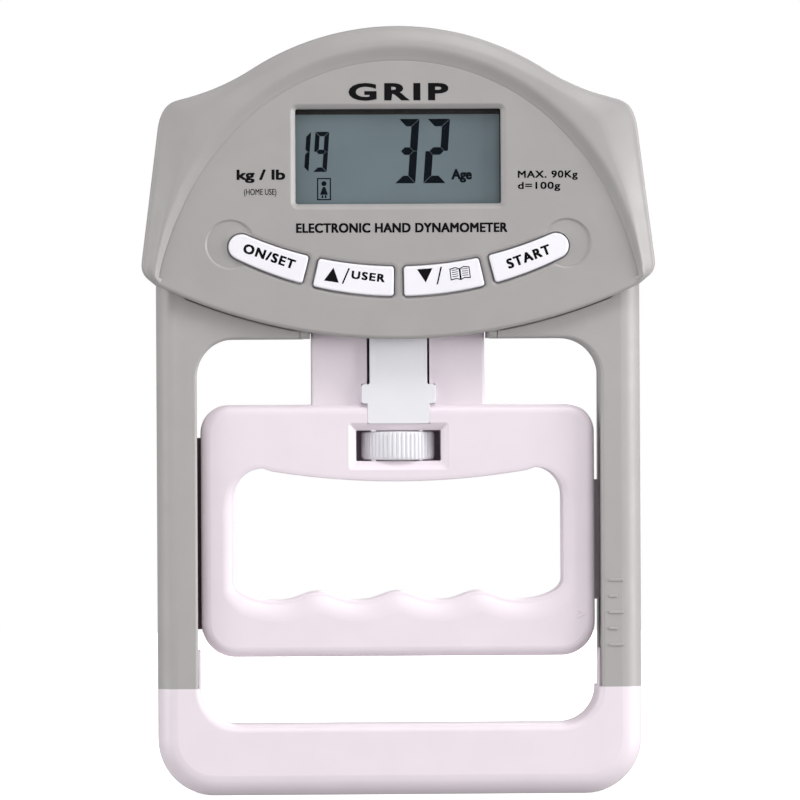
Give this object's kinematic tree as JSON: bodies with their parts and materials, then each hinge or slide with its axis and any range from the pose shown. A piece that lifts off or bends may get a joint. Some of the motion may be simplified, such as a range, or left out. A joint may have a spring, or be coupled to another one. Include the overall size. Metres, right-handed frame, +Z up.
{
  "type": "hand dynamometer",
  "caption": "Electronic hand-grip dynamometer: domed head with display and keys, two legs and a palm bar, and a sliding grooved grip on a screw-adjusted stem.",
  "frame": {"origin": "middle of the underside of the palm bar, half way through the depth", "axes": "+X to the right as the display is read, +Y from the display to the back, +Z up towards the dome"},
  "size_m": [0.1268, 0.03, 0.19],
  "materials": {
    "grey_plastic": "fine spark-eroded texture, satin",
    "blush_plastic": "semi-gloss moulded",
    "white_plastic": "semi-gloss moulded",
    "key_white": "satin key tops with printed labels",
    "clear_window": "clear polycarbonate sheet",
    "black_foam": "closed-cell foam",
    "lcd": "reflective display glass with polariser",
    "holder_plastic": "moulded",
    "zebra": "conductive elastomer",
    "circuit_board": "solder mask",
    "chip_black": "epoxy",
    "silicone": "translucent silicone",
    "steel": "zinc plated",
    "aluminium": "machined",
    "gauge_foil": "polyimide foil",
    "red_wire": "insulation",
    "dark_wire": "insulation",
    "battery": "printed sleeve",
    "brass": "turned"
  },
  "bodies": {
    "housing": {"head_cover": "grey_plastic", "front_frame": "grey_plastic", "rear_shell": "grey_plastic", "palm_bar_front": "blush_plastic", "palm_bar_rear": "blush_plastic", "display_window": "clear_window", "display_gasket": "black_foam", "lcd_panel": "lcd", "lcd_holder": "holder_plastic", "zebra_strips": "zebra", "main_pcb": "circuit_board", "pcb_chips": "chip_black", "keypad_mat": "silicone", "pcb_screws": "steel", "load_cell": "aluminium", "strain_gauges": "gauge_foil", "load_cell_screws": "steel", "gauge_wires": "red_wire", "battery_wires": "dark_wire", "batteries": "battery", "battery_springs": "steel", "battery_contacts": "steel", "housing_screws": "steel", "palm_bar_screws": "steel"},
    "load_nut": {"pull_nut": "brass"},
    "grip": {"grip_front": "blush_plastic", "grip_rear": "blush_plastic", "stem_sleeve": "white_plastic", "thrust_washers": "brass", "grip_screws": "steel"},
    "wheel": {"knurled_wheel": "white_plastic", "adjust_screw": "steel"},
    "key_on_set": {"button_on_set": "key_white"},
    "key_up": {"button_up": "key_white"},
    "key_down": {"button_down": "key_white"},
    "key_start": {"button_start": "key_white"},
    "battery_cover": {"battery_door": "grey_plastic"}
  },
  "joints": [
    {"name": "squeeze", "type": "slide", "parent": "housing", "child": "load_nut", "axis": [0, 0, -1], "range_m": [0, 0.0005], "stiffness_N_per_m": 8000, "springref_m": -0.0006},
    {"name": "grip_adjust", "type": "slide", "parent": "load_nut", "child": "grip", "axis": [0, 0, 1], "range_m": [-0.008, 0.008]},
    {"name": "wheel_turn", "type": "hinge", "parent": "grip", "child": "wheel", "pos_m": [0, 0.0025, 0.08635], "axis": [0, 0, 1], "range_deg": [-1440, 1440]},
    {"name": "press_on_set", "type": "slide", "parent": "housing", "child": "key_on_set", "axis": [0, 1, 0], "range_m": [0, 0.0007], "stiffness_N_per_m": 600, "springref_m": -0.0007},
    {"name": "press_up", "type": "slide", "parent": "housing", "child": "key_up", "axis": [0, 1, 0], "range_m": [0, 0.0007], "stiffness_N_per_m": 600, "springref_m": -0.0007},
    {"name": "press_down", "type": "slide", "parent": "housing", "child": "key_down", "axis": [0, 1, 0], "range_m": [0, 0.0007], "stiffness_N_per_m": 600, "springref_m": -0.0007},
    {"name": "press_start", "type": "slide", "parent": "housing", "child": "key_start", "axis": [0, 1, 0], "range_m": [0, 0.0007], "stiffness_N_per_m": 600, "springref_m": -0.0007},
    {"name": "battery_cover_swing", "type": "hinge", "parent": "housing", "child": "battery_cover", "pos_m": [-0.0377, 0.0142, 0.1188], "axis": [-1, 0, 0], "range_deg": [0, 80]}
  ],
  "couplings": [
    {"joint": "wheel_turn", "follows": "grip_adjust", "rad_per_m": 3141.6}
  ]
}
